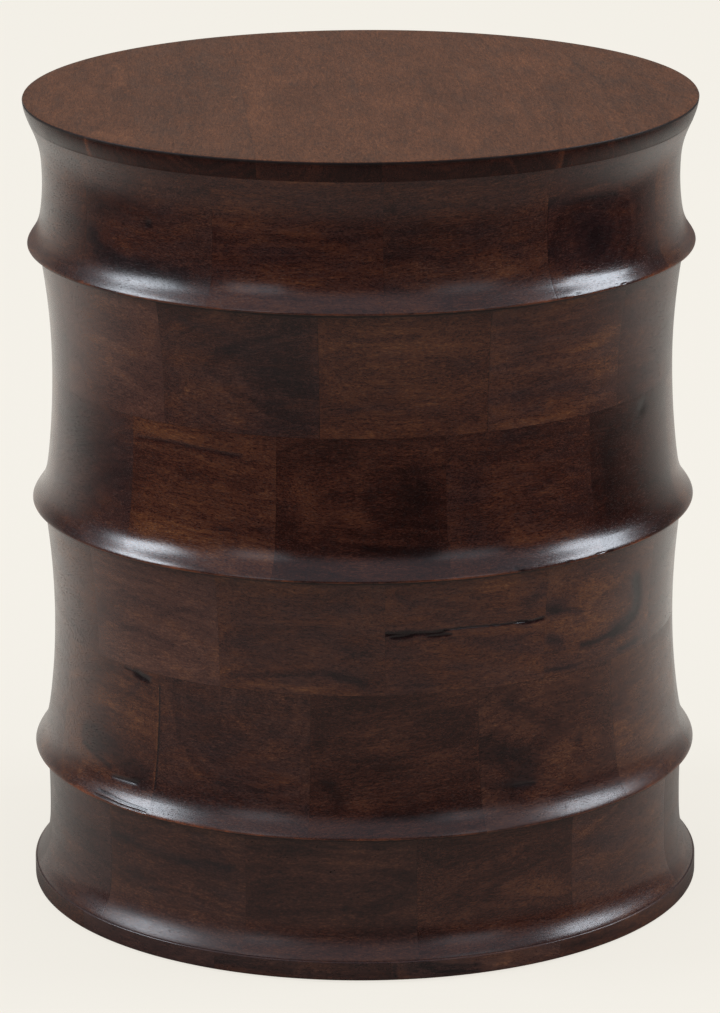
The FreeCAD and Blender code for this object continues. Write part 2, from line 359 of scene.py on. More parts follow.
def lot(seed, *numbers):
    """A repeatable draw between 0 and 1 for whole numbers."""
    value = math.sin(seed * 12.9898 + sum(n * w for n, w in zip(numbers, (78.233, 37.719, 9.151))))
    return (value * 43758.5453) % 1.0


def wrapped(angle):
    return (angle + 180.0) % 360.0 - 180.0


def on_block(angle, middle):
    return abs(wrapped(angle - middle)) < PITCH / 2


def block_stain(number, middle):
    for angle, level, cool in BLOCK_STAINS[number]:
        if on_block(angle, middle):
            return level, cool
    slot = round(middle)
    level = (lot(STAIN_SEED, number, slot) - 0.5) * LEVEL_SPREAD
    return level, lot(STAIN_SEED + 1, number, slot) * COOLNESS_SPREAD


def dullness(number, middle):
    return DULLNESS.get(number, 0.0) + sum(
        change
        for course, angle, change in BLOCK_DULLNESS
        if course == number and on_block(angle, middle)
    )


def block_eye(number, middle, low, high):
    for course, angle, height, roundness, depth in BLOCK_EYES:
        if course == number and on_block(angle, middle):
            return angle, height, roundness, depth
    slot = round(middle)
    draws = [lot(EYE_SEED + i, number, slot) for i in range(4)]
    angle = middle + (draws[0] - 0.5) * PITCH * 1.4
    height = low + (draws[1] * 2.4 - 0.7) * (high - low)
    return angle, height, 0.1 + 0.6 * draws[2] ** 2, -2.0 - 30.0 * draws[3]


# ---- surface of a turned ring ----

FIGURE_RADIUS = 196.0  # of the cylinder on which the figure of the wood lies
SEED_STEP = 31.7
ARC = math.radians(1.0) * 198.0  # a degree along the surface


def swirl(angle, height, scale, seed):
    """Smooth noise over the turned surface, seamless round the drum."""
    place = Vector((*on_circle(angle, FIGURE_RADIUS), height + SEED_STEP * seed))
    return noise.noise(place / scale)


def distance_to_line(u, v, points):
    """Shortest way from a point to a chain of points, all in millimetres."""
    best = math.hypot(u - points[0][0], v - points[0][1])
    for (u0, v0), (u1, v1) in zip(points, points[1:]):
        length = (u1 - u0) ** 2 + (v1 - v0) ** 2
        along = max(0.0, min(1.0, ((u - u0) * (u1 - u0) + (v - v0) * (v1 - v0)) / length))
        best = min(best, math.hypot(u - u0 - along * (u1 - u0), v - v0 - along * (v1 - v0)))
    return best


def local_strokes(number, start):
    """The strokes whose middle lies on the block that starts at an angle."""
    chosen = []
    for item in STROKES:
        if item.course != number:
            continue
        middle = sum(a for a, _ in item.points) / len(item.points)
        if 0 <= (middle - start) % 360.0 < PITCH:
            points = [(wrapped(a - start) * ARC, h) for a, h in item.points]
            chosen.append(item._replace(points=points))
    return chosen


def local_pits(number, start):
    return [
        (wrapped(angle - start) * ARC, height, size)
        for course, angle, height, size in PITS
        if course == number and 0 <= (angle - start) % 360.0 < PITCH
    ]


THIN_STROKE = 3.0  # strokes thinner than this get rows of points of their own
THIN_RAGGED = 0.35
STROKE_REACH, PIT_REACH = 3.0, 2.5  # in half-widths
DIP_SHARPER = 1.3
PIT_STRETCH, PIT_TONE, PIT_DEPTH = 0.7, 2.0, 0.35


def bell(reach):
    return math.exp(-(reach**2))


def stain_at(angle, height, start, strokes, pits):
    """Change of tone and depth of the dips at one point of a block."""
    u = (angle - start) * ARC
    ragged_u = u + 2.6 * swirl(angle, height, 16.0, 3) + 0.7 * swirl(angle, height, 4.0, 5)
    ragged_v = height + 1.5 * swirl(angle, height, 13.0, 7) + 0.4 * swirl(angle, height, 3.5, 9)
    tone, dip = 0.0, 0.0
    for item in strokes:
        thin = item.width < THIN_STROKE
        place = (u, height + THIN_RAGGED * (ragged_v - height)) if thin else (ragged_u, ragged_v)
        reach = distance_to_line(*place, item.points) / item.width
        if reach < STROKE_REACH:
            tone += item.tone * math.exp(-(reach**item.soft))
            dip += item.dip * bell(DIP_SHARPER * reach)
    for pit_u, pit_v, size in pits:
        reach = math.hypot((u - pit_u) * PIT_STRETCH, height - pit_v) / size
        if reach < PIT_REACH:
            tone -= PIT_TONE * bell(reach)
            dip += PIT_DEPTH * bell(reach)
    return tone, dip


BROAD_RIPPLE, FINE_RIPPLE = 0.10, 0.025
GROOVE_DEPTH = 0.015
SEAM_BETWEEN_COURSES = 0.45
LIP_RISE = -0.3  # where the worn line lies above the widest point of a ridge
LIP_WIDTH = 0.45
LIP_SPREAD = 4.5  # how much wider than that the wear reaches up in patches
LEAST_WEAR = 0.35
DIRT_AND_SHADE_START, DIRT_AND_SHADE_RISE = 0.3, 0.4  # how far under the lip the dirt and painted shade start and are full
# Where a lip is rubbed most: height of the ridge, angle and half-width.
LIP_PATCHES = (
    (UPPER_RIDGE, 30.0, 4.0),
    (UPPER_RIDGE, 57.0, 6.0),
    (LOWER_RIDGE, -57.5, 4.5),
    (LOWER_RIDGE, -31.0, 6.5),
)
PATCH_WEAR = 0.6
# Where the nose of the upper ridge is rubbed matt: angle, half-width, how much.
MATT_NOSES = ((-88.0, 16.0, 5.3), (88.0, 14.0, 5.0))
MATT_RISE, MATT_TALL, MATT_REACH = 4.0, 9.0, 2.5
MATT_PALER, MATT_WARMER = 0.14, 0.15  # change of level and coolness for each step


def lip_wear_and_shade(angle, height):
    """How rubbed the wood is near the lip of a ridge, and how dark it is under the lip for dirt and
    painted shade.
    """
    lip = min((z + LIP_RISE for z in RIDGES), key=lambda z: abs(height - z))
    patch = 0.7 * swirl(angle, lip, 24.0, 6) + sum(
        PATCH_WEAR * bell(wrapped(angle - middle) / wide)
        for ridge, middle, wide in LIP_PATCHES
        if ridge + LIP_RISE == lip
    )
    spread = 1.0 + max(0.0, LIP_SPREAD * patch) if height > lip else 1.0
    worn = bell((height - lip) / LIP_WIDTH / spread)
    worn *= LEAST_WEAR + 1.4 * patch + 0.7 * swirl(angle, height, 4.0, 8)
    # Under the lip the wood darkens for dirt, and for painted shade under the ridge's overhang.
    under = lip - height if lip - height < RIDGE_DROP else 0.0
    dirt = max(0.0, min(1.0, (under - DIRT_AND_SHADE_START) / DIRT_AND_SHADE_RISE))
    return max(0.0, worn), dirt


def matt_nose(angle, height):
    """How matt the lacquer is rubbed on the nose of the upper ridge."""
    reach = (height - UPPER_RIDGE - MATT_RISE) / MATT_TALL
    if abs(reach) > MATT_REACH:
        return 0.0
    return bell(reach) * sum(
        much * bell(wrapped(angle - middle) / wide) for middle, wide, much in MATT_NOSES
    )


def joint_darkness(number, angle):
    """How much of a dark glue line shows at an upright joint."""
    drawn = lot(EYE_SEED + 5, number, round(angle % 360.0 * 10))
    return 0.30 + 0.70 * drawn**1.5


def ripple(angle, height):
    """What turning and sanding took off unevenly, in millimetres."""
    broad = 0.5 + 0.5 * swirl(angle, height, 34.0, 1)
    fine = 0.5 + 0.5 * swirl(angle, height, 9.0, 2)
    return BROAD_RIPPLE * broad + FINE_RIPPLE * fine


# ---- mesh making ----

SMOOTH_ANGLE = 32.0
GRAIN_SLOPE = 0.12  # across a block, at most
BOARD_GRAIN_SLOPE = 0.02
BOARD_LENGTH, BOARD_RINGS, RING_BEND = 611, 500, 0.0004
PLANK_LENGTH, PLANK_WIDTH, PLANK_RINGS = 900, 300, 1000  # blocks are cut from planks
COOLER_WHEN_DARK, COOLER_WHEN_PALE = 0.7, 0.25
TURNED, SAWN, FLAT_TOP = range(3)  # material slots of a piece


def new_piece(name, points, faces, materials, face_materials, wood, ring, stain, wear):
    """A mesh object from points in millimetres, with what its wood shader reads."""
    mesh = bpy.data.meshes.new(name)
    mesh.from_pydata([tuple(c * MM for c in p) for p in points], [], faces)
    for material in materials:
        mesh.materials.append(material)
    mesh.polygons.foreach_set("material_index", face_materials)
    layers = {"wood_at": wood, "ring": ring, "stain": stain, "wear": wear}
    for layer, values in layers.items():
        kind, field = ("FLOAT", "value") if layer == "ring" else ("FLOAT_VECTOR", "vector")
        made = mesh.attributes.new(layer, kind, "POINT")
        made.data.foreach_set(field, np.asarray(values, np.float32).ravel())
    tidy = bmesh.new()
    tidy.from_mesh(mesh)
    bmesh.ops.recalc_face_normals(tidy, faces=tidy.faces)
    tidy.to_mesh(mesh)
    tidy.free()
    mesh.shade_smooth()
    mesh.set_sharp_from_angle(angle=math.radians(SMOOTH_ANGLE))
    return make_object(name, mesh)


def block_columns():
    count = round(PITCH / COLUMN_STEP)
    ease = EASE_WIDTH / ARC
    inner = [PITCH * i / count for i in range(1, count)]
    return [0.0, ease] + inner + [PITCH - ease, PITCH]


def block_faces(columns, around, last_row):
    """Faces of a closed block, and which of them are turned or sawn."""
    faces, kinds = [], []
    for c in range(columns - 1):
        for r in range(around):
            s = (r + 1) % around
            faces.append((c * around + r, (c + 1) * around + r, (c + 1) * around + s, c * around + s))
            kinds.append(TURNED if r < last_row else SAWN)
    final = (columns - 1) * around
    faces.append(tuple(range(around)))
    faces.append(tuple(final + i for i in reversed(range(around))))
    return faces, kinds + [SAWN, SAWN]


def turned_block(name, outline, number, start, node):
    """One glued block: turned outside, sawn flat inside, edges just eased."""
    middle = start + PITCH / 2
    low, high = outline[0][1], outline[-1][1]
    columns = block_columns()
    strokes = local_strokes(number, start)
    pits = local_pits(number, start)
    level, cool = block_stain(number, middle)
    dull = dullness(number, middle)
    eye_angle, eye_height, roundness, eye_depth = block_eye(number, middle, low, high)
    eye_turn = math.radians(eye_angle - middle)
    eye_u = FIGURE_RADIUS * math.sin(eye_turn)
    eye_w = FIGURE_RADIUS * math.cos(eye_turn) + eye_depth
    lots = [lot(EYE_SEED + 9, number, round(start * 10), i) for i in range(4)]
    seams = [joint_darkness(number, start + turn) for turn in (0.0, PITCH)]
    points, wood, ring, stain, wear = [], [], [], [], []

    def add(angle, radius, height, tone, worn, seam, dirt):
        points.append((*on_circle(angle, radius), height))
        local = math.radians(angle - middle)
        u, w = radius * math.sin(local), radius * math.cos(local)
        slope = (lots[1] - 0.5) * GRAIN_SLOPE * u
        wood.append((u + PLANK_LENGTH * lots[2], height + slope + PLANK_WIDTH * lots[3], w))
        reach = math.sqrt(
            (roundness * (u - eye_u)) ** 2 + (height + slope - eye_height) ** 2 + (w - eye_w) ** 2
        )
        ring.append(reach + PLANK_RINGS * lots[2])
        cooled = cool - COOLER_WHEN_DARK * min(0.0, tone) - COOLER_WHEN_PALE * max(0.0, tone)
        matt = matt_nose(angle, height)
        shade = level + tone + MATT_PALER * matt
        stain.append((shade, cooled - MATT_WARMER * matt, lots[0] - 0.5 + dull + matt))
        wear.append((worn, seam, dirt))

    last_row = len(outline) - 1
    for c, column in enumerate(columns):
        angle = start + column
        for r, (radius, height) in enumerate(outline):
            tone, dip = stain_at(angle, height, start, strokes, pits)
            seam = SEAM_BETWEEN_COURSES if r in (0, last_row) else 0.0
            if c in (0, len(columns) - 1):
                seam = max(seam, seams[0 if c == 0 else 1])
            # The dirt value carries dirt and painted shade under a ridge's lip.
            worn, dirt = lip_wear_and_shade(angle, height)
            sink = ripple(angle, height) + dip + GROOVE_DEPTH * seam
            add(angle, radius - sink, height, tone, worn, seam, dirt)
        back = INNER_FLAT / math.cos(math.radians(angle - middle))
        inside = (high, high - 1.0, (low + high) / 2, low + 1.0, low)
        for height in inside:
            add(angle, back, height, 0.0, 0.0, 0.0, 0.0)

    faces, kinds = block_faces(len(columns), len(outline) + len(inside), last_row)
    materials = [DRUM_WOOD, RAW_WOOD]
    piece = new_piece(name, points, faces, materials, kinds, wood, ring, stain, wear)
    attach(piece, BODY)
    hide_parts(node)
    return piece


def course_outline(course, below, number):
    extra = []
    for item in STROKES:
        if item.course == number and item.width < THIN_STROKE:
            for _, height in item.points:
                extra += [height + item.width * k for k in (-1.2, -0.5, 0, 0.5, 1.2)]
    for pit_course, _, height, size in PITS:
        if pit_course == number:
            extra += [height - size, height, height + size]
    outline, bottom = [], course.foot
    if course.foot < course.bay.foot:
        outline = ridge_points(course.bay, bay_radius(below.bay, course.foot))
        bottom = course.bay.foot
        extra += [bottom + rise for rise in (0.3, 0.6, 1.0, 1.5, 2.1, 2.8, 3.6, 4.5, 5.5, 6.6, 7.8)]
    sweep = [(bay_radius(course.bay, z), z) for z in spaced(bottom, course.top, ROW_STEP, extra)]
    return outline + sweep


def make_courses():
    half = BLOCKS // 2
    for number, course in enumerate(COURSES, start=1):
        below = COURSES[number] if number < len(COURSES) else None
        outline = course_outline(course, below, number)
        for block in range(BLOCKS):
            first = block % half + 1
            turned_block(
                f"{course.name}_block_{block + 1:02d}",
                outline,
                number,
                course.joint_angle + PITCH * block,
                f"{course.name}_blocks_{first:02d}_{first + half:02d}",
            )


# ---- foot ring ----


def foot_outline():
    crease = bay_radius(BAYS[-1], BASE_TOP)
    shoulder = BASE_TOP - BASE_TOP_ROUND
    foot_r, foot_z = BASE_RADIUS - BASE_FOOT_ROUND, FLOOR_GAP + BASE_FOOT_ROUND
    foot = arc_points(foot_r, foot_z, BASE_FOOT_ROUND, -90, 0, 5)
    side = [(BASE_RADIUS, z) for z in spaced(foot_z, shoulder, 1.2)[1:-1]]
    top = arc_points(crease, shoulder, BASE_RADIUS - crease, 0, 90, 4)
    return foot + side + top


def cut_seats(piece):
    """Bores the shallow seats for the glides out of a foot segment."""
    low, high = piece_box(piece)
    for glide in range(GLIDES):
        angle = BASE_JOINT_ANGLE + 1.5 * PITCH + 360.0 / GLIDES * glide
        x, y = on_circle(angle, GLIDE_CIRCLE * MM)
        if not (low.x < x < high.x and low.y < y < high.y):
            continue
        tool = bmesh.new()
        bmesh.ops.create_cone(
            tool, cap_ends=True, segments=48, radius1=SEAT_RADIUS * MM, radius2=SEAT_RADIUS * MM,
            depth=2 * SEAT_DEPTH * MM, matrix=Matrix.Translation((x, y, FLOOR_GAP * MM)),
        )
        mesh = bpy.data.meshes.new("seat_tool")
        tool.to_mesh(mesh)
        tool.free()
        mesh.materials.append(RAW_WOOD)
        cutter = make_object("seat_tool", mesh)
        cut = piece.modifiers.new("seat", "BOOLEAN")
        cut.operation, cut.solver, cut.object = "DIFFERENCE", "EXACT", cutter
        cut.material_mode = "TRANSFER"
        bpy.context.view_layer.update()
        result = bpy.data.meshes.new_from_object(
            piece.evaluated_get(bpy.context.evaluated_depsgraph_get())
        )
        piece.modifiers.clear()
        piece.data = result
        bpy.data.objects.remove(cutter)


def piece_box(piece):
    axes = list(zip(*piece.bound_box))
    return Vector(map(min, axes)), Vector(map(max, axes))


def make_foot():
    outline = foot_outline()
    for number in range(BLOCKS):
        start = BASE_JOINT_ANGLE + PITCH * number
        name = f"foot_segment_{number + 1:02d}"
        node = f"base_segment_{number + 1:02d}"
        cut_seats(turned_block(name, outline, FOOT_RING, start, node))


# ---- top boards ----

# Tone strokes on the top: (X, Y) points, half-width, tone.
TOP_STROKES = (
    ([(-150, 100), (-148, 20)], 3, 0.7),
    ([(-158, -118), (-134, -146)], 8, 0.5),
    ([(-110, 60), (-104, -60)], 26, -0.25),
    ([(-66, 90), (-64, -100)], 7, 0.35),
    ([(-52, 50), (-43, 30), (-34, 52)], 3.2, 0.4),
    ([(-30, 20), (-36, -40)], 12, -0.3),
    ([(21, -36)], 14, 0.35),
    ([(14, -165)], 8, 0.35),
    ([(40, 60), (44, -20)], 12, -0.25),
    ([(97, 90)], 22, 0.25),
    ([(97, -60)], 24, 0.3),
    ([(120, 20), (118, -100)], 9, -0.3),
    ([(168, 40), (160, -60)], 20, -0.2),
)
TOP_SPECKS = ((-90, 29), (-77, -14), (-76, -58), (-77, -100))
SPECK_STRETCH, SPECK_RADIUS, SPECK_TONE = 0.5, 1.6, 1.2
RIM_MARKS = ((34.3, 0.9), (-51.5, 1.6))  # angle and half-width of worn upright marks
RIM_EDGE = ((0.06, 1.05), (0.16, 0.7), (0.38, 0.28), (0.7, 0.06), (0.91, 0.0))  # inset, drop
RIM_STEP = 1.4
RIM_DARK, RIM_DARK_RADIUS, RIM_DARK_BAND = 0.9, 205.6, (-1.3, -0.3)
FACE_UNEVENNESS = 0.04  # of the flat of the top, as a share of the turned rim's
JOINT_SINK, JOINT_DARKNESS, JOINT_NEAR = 0.02, 0.3, 0.02
FACE_DEPTH = 0.4  # what lies deeper than this belongs to the turned rim
OUTERMOST = 215.0
BOARD_STAINS = ((-0.05, 0.0), (-0.05, 0.35), (0.0, 0.0), (0.05, 0.0), (0.0, 0.15), (-0.05, 0.3))
BOARD_EYES = ((-30, 10), (24, -8), (-6, 4), (12, -18), (-28, 12), (40, -6))


def rim_outline():
    """The top's turned edge, from its underside to the flat of the top."""
    heights = spaced(HEIGHT - TOP_THICKNESS, HEIGHT - RIM_EASE, RIM_STEP)
    side = [(bay_radius(BAYS[0], z), z) for z in heights]
    rim = side.pop()[0]
    edge = [(rim - inset, HEIGHT - drop) for inset, drop in RIM_EDGE]
    return sorted(side + edge, key=lambda p: (p[1], -p[0]))


def top_disc():
    """The whole top as one closed turned mesh, before it is cut into boards."""
    outline = rim_outline()
    rim = outline[-1][0]
    rings = [rim - RING_STEP * i for i in range(1, int(rim / RING_STEP))]
    underside = HEIGHT - TOP_THICKNESS
    loops = [(r, underside) for r in reversed(rings[::6])] + outline + [(r, HEIGHT) for r in rings]
    disc = bmesh.new()
    rows = []
    for radius, height in loops:
        row = []
        for i in range(RIM_SEGMENTS):
            angle = 360.0 * i / RIM_SEGMENTS
            sunk = ripple(angle, height) if height > underside else 0.0
            drop = 0.0
            if height == HEIGHT:
                drop = FACE_UNEVENNESS * sunk
                sunk *= radius / rim
            place = (*on_circle(angle, radius - sunk), height - drop)
            row.append(disc.verts.new([c * MM for c in place]))
        rows.append(row)
    for a, b in zip(rows, rows[1:]):
        for i in range(RIM_SEGMENTS):
            j = (i + 1) % RIM_SEGMENTS
            disc.faces.new((a[i], a[j], b[j], b[i]))
    for row, height in ((rows[0], underside), (rows[-1], HEIGHT)):
        centre = disc.verts.new((0, 0, height * MM))
        for i in range(RIM_SEGMENTS):
            disc.faces.new((row[i], row[(i + 1) % RIM_SEGMENTS], centre))
    bmesh.ops.recalc_face_normals(disc, faces=disc.faces)
    return disc


def slice_board(disc, left, right):
    """Keeps the strip of the disc between two upright joints."""
    board = disc.copy()
    turn = Matrix.Rotation(math.radians(BOARD_TURN), 3, "Z")
    normal = turn @ Vector((1, 0, 0))
    top_level = (HEIGHT - 0.5) * MM
    for x, side in ((left, -1), (right, 1)):
        if x is None:
            continue
        joint = turn @ Vector((x * MM, 0, 0))
        for inset in (-EASE_WIDTH * side * MM, 0.0):
            everything = board.verts[:] + board.edges[:] + board.faces[:]
            bmesh.ops.bisect_plane(
                board,
                geom=everything,
                dist=1e-7,
                plane_co=joint + normal * inset,
                plane_no=normal * side,
                clear_outer=inset == 0.0,
            )
        cut = [e for e in board.edges if e.is_boundary]
        bmesh.ops.holes_fill(board, edges=cut, sides=0)
        for vert in board.verts:
            if abs((vert.co - joint).dot(normal)) < 2e-6 and vert.co.z > top_level:
                vert.co.z -= JOINT_SINK * MM
    return board


def top_tone(x, y):
    place = Vector((x, y, 0))
    ragged_x = x + 5.0 * noise.noise(place / 26.0) + 1.5 * noise.noise(place / 8.0)
    ragged_y = y + 9.0 * noise.noise((place + Vector((91, 17, 5))) / 40.0)
    tone = 0.0
    for points, width, amount in TOP_STROKES:
        reach = distance_to_line(ragged_x, ragged_y, points) / width
        if reach < STROKE_REACH:
            tone += amount * bell(reach)
    for speck_x, speck_y in TOP_SPECKS:
        reach = math.hypot(x - speck_x, (y - speck_y) * SPECK_STRETCH) / SPECK_RADIUS
        if reach < STROKE_REACH:
            tone += SPECK_TONE * bell(reach)
    return tone


def board_wood(points, number, left, right):
    """What the wood shader reads at each point of a top board."""
    level, cool = BOARD_STAINS[number - 1]
    eye_x, eye_drop = BOARD_EYES[number - 1]
    middle = ((left or -OUTERMOST) + (right or OUTERMOST)) / 2
    wood, ring, stain, wear = [], [], [], []
    for point in points:
        local = UNTURNED @ point
        slope = BOARD_GRAIN_SLOPE * (number - 3.5) * local.y
        u, v, w = local.y, local.x + slope, point.z - HEIGHT
        wood.append((u + BOARD_LENGTH * number, v, w))
        reach = math.hypot(v - middle - eye_x + RING_BEND * u * u, w - 9.0 + 2.0 * eye_drop)
        ring.append(reach + BOARD_RINGS * number)
        near = min(abs(local.x - x) for x in (left, right) if x is not None)
        turned = math.hypot(point.x, point.y) > RIM_DARK_RADIUS
        dark = turned and RIM_DARK_BAND[0] < w < RIM_DARK_BAND[1]
        stain.append((level + top_tone(point.x, point.y), cool, 0.0))
        angle = math.degrees(math.atan2(point.x, -point.y))
        marks = RIM_MARKS if w < -FACE_DEPTH else ()
        marked = sum(bell((angle - at) * ARC / wide) for at, wide in marks)
        seam = JOINT_DARKNESS if near < JOINT_NEAR else 0.0
        wear.append((marked, seam, RIM_DARK if dark else 0.0))
    return wood, ring, stain, wear


def board_surface(polygon, left, right):
    """Whether a face of a board is turned, sawn or the flat of the top."""
    centre, upward = polygon.center / MM, polygon.normal.z
    x = (UNTURNED @ centre).x
    joint = any(side is not None and abs(x - side) < 0.05 for side in (left, right))
    if upward < -0.9 or (abs(upward) < 0.05 and joint):
        return SAWN
    return TURNED if centre.z < HEIGHT - FACE_DEPTH else FLAT_TOP


def make_boards():
    disc = top_disc()
    sides = (None,) + BOARD_JOINTS + (None,)
    materials = [RIM_WOOD, RAW_WOOD, TOP_WOOD]
    for number, (left, right) in enumerate(zip(sides, sides[1:]), start=1):
        name = f"tabletop_board_{number}"
        board = slice_board(disc, left, right)
        mesh = bpy.data.meshes.new(name)
        board.to_mesh(mesh)
        board.free()
        points = [v.co / MM for v in mesh.vertices]
        faces = [tuple(p.vertices) for p in mesh.polygons]
        kinds = [board_surface(p, left, right) for p in mesh.polygons]
        bpy.data.meshes.remove(mesh)
        wood = board_wood(points, number, left, right)
        piece = new_piece(name, points, faces, materials, kinds, *wood)
        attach(piece, BODY)
        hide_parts(f"top_board_{number}")
    disc.free()


# ---- materials ----


class Nodes:
    """Short spelling for building a node tree."""

    def __init__(self, owner):
        self.owner = owner
        owner.use_nodes = True
        self.tree = owner.node_tree
        self.tree.nodes.clear()

    def add(self, kind, inputs=None, **settings):
        """Adds a node; an input is another node's output, a number or a plain colour."""
        node = self.tree.nodes.new("ShaderNode" + kind)
        for key, value in settings.items():
            setattr(node, key, value)
        for key, value in (inputs or {}).items():
            socket = node.inputs[key]
            if isinstance(value, bpy.types.NodeSocket):
                self.tree.links.new(value, socket)
            else:
                socket.default_value = (*value, 1.0) if socket.type == "RGBA" else value
        return node

    def first(self, kind, *inputs, **settings):
        """The first output of a new node that takes its inputs in order."""
        return self.add(kind, dict(enumerate(inputs)), **settings).outputs[0]

    def attribute(self, name):
        return self.add("Attribute", attribute_name=name).outputs

    def parts(self, vector):
        return self.add("SeparateXYZ", {0: vector}).outputs

    def object_place(self):
        return self.add("TexCoord").outputs["Object"]

    def math(self, operation, a, b=0.0, c=0.0, clamp=False):
        return self.first("Math", a, b, c, operation=operation, use_clamp=clamp)

    def times(self, a, b, clamp=False):
        return self.math("MULTIPLY", a, b, 0.0, clamp)

    def fused(self, value, factor, extra, clamp=False):
        return self.math("MULTIPLY_ADD", value, factor, extra, clamp)

    def noise(self, place, scale, detail=2.0, roughness=0.5):
        """Noise with a scale of its own along each axis."""
        vector = self.first("VectorMath", place, scale, operation="MULTIPLY")
        inputs = {"Vector": vector, "Scale": 1.0, "Detail": detail, "Roughness": roughness}
        return self.add("TexNoise", inputs).outputs["Fac"]

    def ring_noise(self, distance, scale):
        """Noise along a line, for growth rings."""
        inputs = {"W": self.times(distance, scale), "Scale": 1.0, "Detail": 3.0, "Roughness": 0.6}
        return self.add("TexNoise", inputs, noise_dimensions="1D").outputs["Fac"]

    def ramp(self, value, colours, positions=None):
        """A blend through colours, evenly spaced unless their positions are given."""
        node = self.add("ValToRGB", {"Fac": value})
        elements = node.color_ramp.elements
        while len(elements) < len(colours):
            elements.new(0.5)
        for index, colour in enumerate(colours):
            even = index / (len(colours) - 1)
            elements[index].position = positions[index] if positions else even
            elements[index].color = (*colour, 1.0)
        return node.outputs["Color"]

    def mix(self, amount, a, b):
        """Mixes two colours, which are the seventh and eighth inputs of the node."""
        inputs = {0: amount, 6: a, 7: b}
        return self.add("Mix", inputs, data_type="RGBA").outputs[2]

    def smooth(self, value, start, end, low, high):
        """Goes smoothly from low to high while the value goes from start to end."""
        limits = start, end, low, high
        return self.first("MapRange", value, *limits, interpolation_type="SMOOTHSTEP")

    def centred(self, value, gain):
        """Noise, which lies round one half, as a swing about nought."""
        return self.fused(value, gain, -0.5 * gain)

    def total(self, *values):
        result = values[0]
        for value in values[1:]:
            result = self.math("ADD", result, value)
        return result

    def surface(self, colour, roughness, bump, others):
        """Ends a material; bump is its strength, its depth in metres and its height."""
        inputs = dict(zip(("Strength", "Distance", "Height"), bump))
        normal = self.add("Bump", inputs).outputs["Normal"]
        inputs = {"Base Color": colour, "Roughness": roughness, "Normal": normal} | others
        self.add("OutputMaterial", {0: self.add("BsdfPrincipled", inputs).outputs[0]})


Look = namedtuple("Look", "palette cool_palette rings fibres mottle gloss specular worn")

DRUM_PALETTE = (
    (0.0085, 0.0025, 0.0021),
    (0.0190, 0.0049, 0.0034),
    (0.0386, 0.0108, 0.0065),
    (0.0740, 0.0243, 0.0108),
    (0.1400, 0.0530, 0.0190),
)
DRUM_COOL = (
    (0.0085, 0.0038, 0.0041),
    (0.0174, 0.0067, 0.0065),
    (0.0340, 0.0126, 0.0105),
    (0.0550, 0.0215, 0.0155),
    (0.1000, 0.0410, 0.0260),
)
TOP_PALETTE = (
    (0.0384, 0.0150, 0.0080),
    (0.0672, 0.0264, 0.0129),
    (0.1027, 0.0399, 0.0192),
    (0.1440, 0.0544, 0.0251),
    (0.2256, 0.0907, 0.0376),
)
TOP_COOL = (
    (0.0384, 0.0191, 0.0125),
    (0.0634, 0.0300, 0.0180),
    (0.0941, 0.0427, 0.0242),
    (0.1258, 0.0562, 0.0317),
    (0.1987, 0.0889, 0.0484),
)
RIM_PALETTE = tuple((0.46 * r, 0.32 * g, 0.33 * b) for r, g, b in DRUM_PALETTE)
WORN_ORANGE = (0.130, 0.034, 0.012)
# Near black: pores and glue seams, and the dirt and painted shade under the ridges' lips.
NEAR_BLACK = (0.0045, 0.0021, 0.0018)


